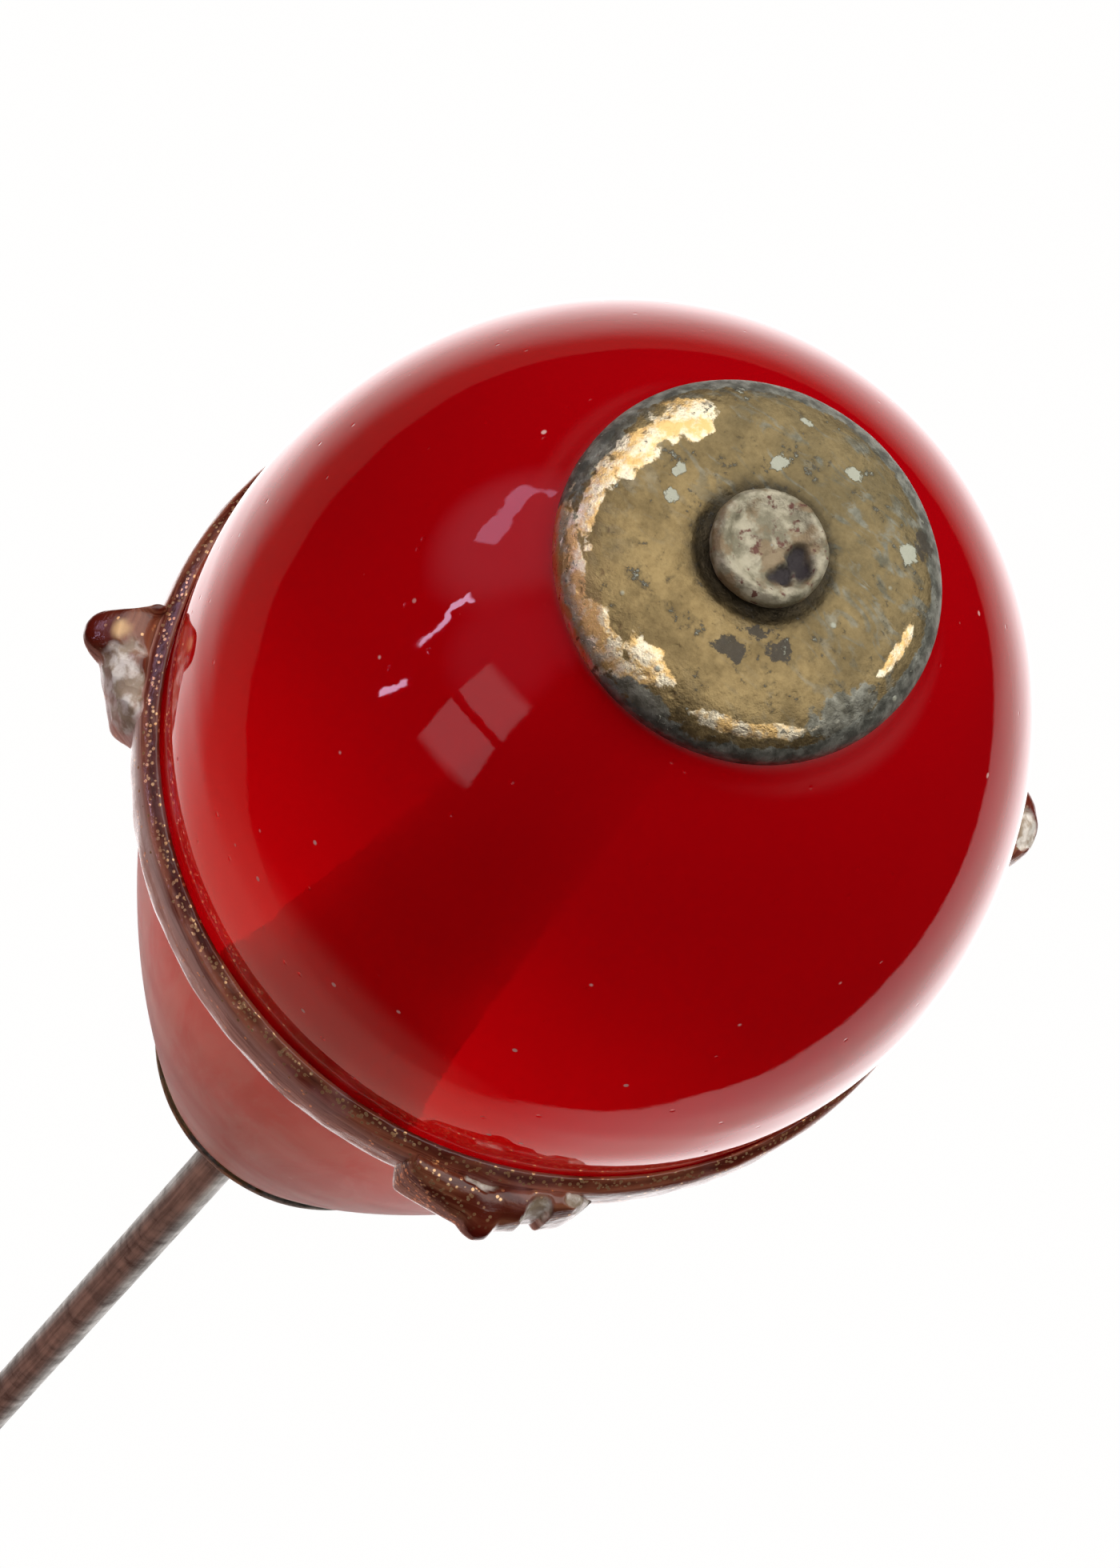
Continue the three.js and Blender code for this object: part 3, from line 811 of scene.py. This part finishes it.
floor_z = cad_box[0].z - 0.5 * MM
half = 3.0
corners = [(half * x, half * y, floor_z) for x, y in ((-1, -1), (1, -1), (1, 1), (-1, 1))]
floor = make_object("floor", corners, [(0, 1, 2, 3)], smooth=False)
floor.data.materials.append(pale_paper("pale_floor"))
seen_by_camera_only(floor)
bpy.ops.mesh.primitive_uv_sphere_add(radius=5, segments=64, ring_count=32)
backdrop = bpy.context.object
backdrop.name = "backdrop"
backdrop.data.materials.append(pale_paper("pale_backdrop"))
seen_by_camera_only(backdrop)


def studio_world():
    """White paper below, a dark room round it, a dim ceiling over the head, and a window at the left."""
    world = bpy.data.worlds.new("studio")
    world.use_nodes = True
    scene.world = world
    n = Nodes(world.node_tree)
    direction = n.tree.nodes.new("ShaderNodeTexCoord").outputs["Generated"]

    def toward(axis):
        """The cosine of the angle from the axis."""
        node = n.tree.nodes.new("ShaderNodeVectorMath")
        node.operation = "DOT_PRODUCT"
        n.put(node.inputs[0], direction)
        node.inputs[1].default_value = axis
        return node.outputs["Value"]

    def lobe(axis, full, edge, strength):
        """A soft round light: full and edge are angles from its axis, in degrees."""
        return n.ramp(toward(axis.normalized()), cos(radians(edge)), cos(radians(full)), 0, strength)

    def panel(middle, end, wide, tall, bars=0.0, wobble=0.0):
        """A flat light: end lies along its width. The half sizes are tangents of angles."""
        middle = middle.normalized()
        side = (end - end.dot(middle) * middle).normalized()
        facing = toward(middle)
        u = n.math("DIVIDE", toward(side), facing)
        v = n.math("DIVIDE", toward(middle.cross(side)), facing)
        if wobble:
            bend = n.tree.nodes.new("ShaderNodeTexNoise")
            n.put(bend.inputs["Vector"], direction)
            bend.inputs["Scale"].default_value = 9.0
            v = n.math("ADD", v, n.math("MULTIPLY", n.math("SUBTRACT", bend.outputs["Fac"], 0.5), wobble))
        u, v = n.math("ABSOLUTE", u, 0), n.math("ABSOLUTE", v, 0)
        shape = n.math("MULTIPLY", n.ramp(u, wide, wide * 0.9), n.ramp(v, tall, tall * 0.75))
        if bars:
            shape = n.math("MULTIPLY", shape, n.ramp(v, bars * 0.6, bars))
        return n.math("MULTIPLY", shape, n.ramp(facing, 0.1, 0.2))

    paper = toward(-0.993 * back - 0.118 * right - 0.015 * up)
    ahead = toward(-back)
    # the paper: its near edge is dim and warm, and it brightens towards the middle
    shelf = lobe(-0.64 * back + 0.5 * right - 0.58 * up, 20, 52, 1.0)
    shelf = n.mix(shelf, rgb(0.20, 0.10, 0.08), rgb(0.62, 0.50, 0.50))
    colour = n.mix(n.ramp(paper, 0.555, 0.575), rgb(0.016, 0.006, 0.008), shelf)
    colour = n.mix(n.ramp(ahead, 0.64, 0.82), colour, rgb(0.82, 0.74, 0.70))
    colour = n.mix(n.ramp(ahead, 0.78, 0.95), colour, rgb(1.7, 1.6, 1.6))
    # whatever holds the pin shades the paper on the shank's side
    colour = n.mix(lobe(-0.766 * back - 0.478 * right - 0.43 * up, 12, 32, 1.0), colour, rgb(0.55, 0.26, 0.21))
    # over the head: one broad soft light, and what of the room its glass shows beside the cap
    overhead = Vector((-back.x, -back.y, back.z))
    colour = n.mix(lobe(overhead, 48, 69, 1.0), colour, rgb(1.45, 1.41, 1.38))
    colour = n.mix(lobe(Vector((-0.9, -0.1, 0.42)), 10, 24, 0.8), colour, rgb(0.50, 0.38, 0.48))
    colour = n.mix(lobe(Vector((-0.62, -0.6, 0.5)), 8, 20, 0.8), colour, rgb(0.22, 0.13, 0.18))
    pane = panel(Vector((-0.47, -0.832, 0.296)), Vector((-0.163, -0.989, 0.409)), 0.17, 0.25, bars=0.026)
    colour = n.mix(pane, colour, rgb(0.95, 0.80, 0.85))
    glow = panel(Vector((-0.94, 0.0, 0.34)), Vector((-0.93, 0.3, 0.36)), 0.16, 0.06, wobble=0.10)
    colour = n.mix(glow, colour, rgb(2.4, 1.8, 2.7))
    streaks = [
        (Vector((-0.854, -0.383, 0.353)), Vector((-0.813, -0.574, 0.103))),
        (Vector((-0.74, -0.675, 0.04)), Vector((-0.753, -0.65, -0.09))),
    ]
    for start, end in streaks:
        streak = panel((start + end) / 2, end, (end - start).length / 2, 0.016, wobble=0.16)
        colour = n.mix(streak, colour, rgb(8.0, 6.0, 9.0))
    background = n.tree.nodes["Background"]
    n.put(background.inputs["Color"], colour)
    background.inputs["Strength"].default_value = 1.0


studio_world()
scene.view_settings.view_transform = "Standard"
scene.cycles.use_denoising = True
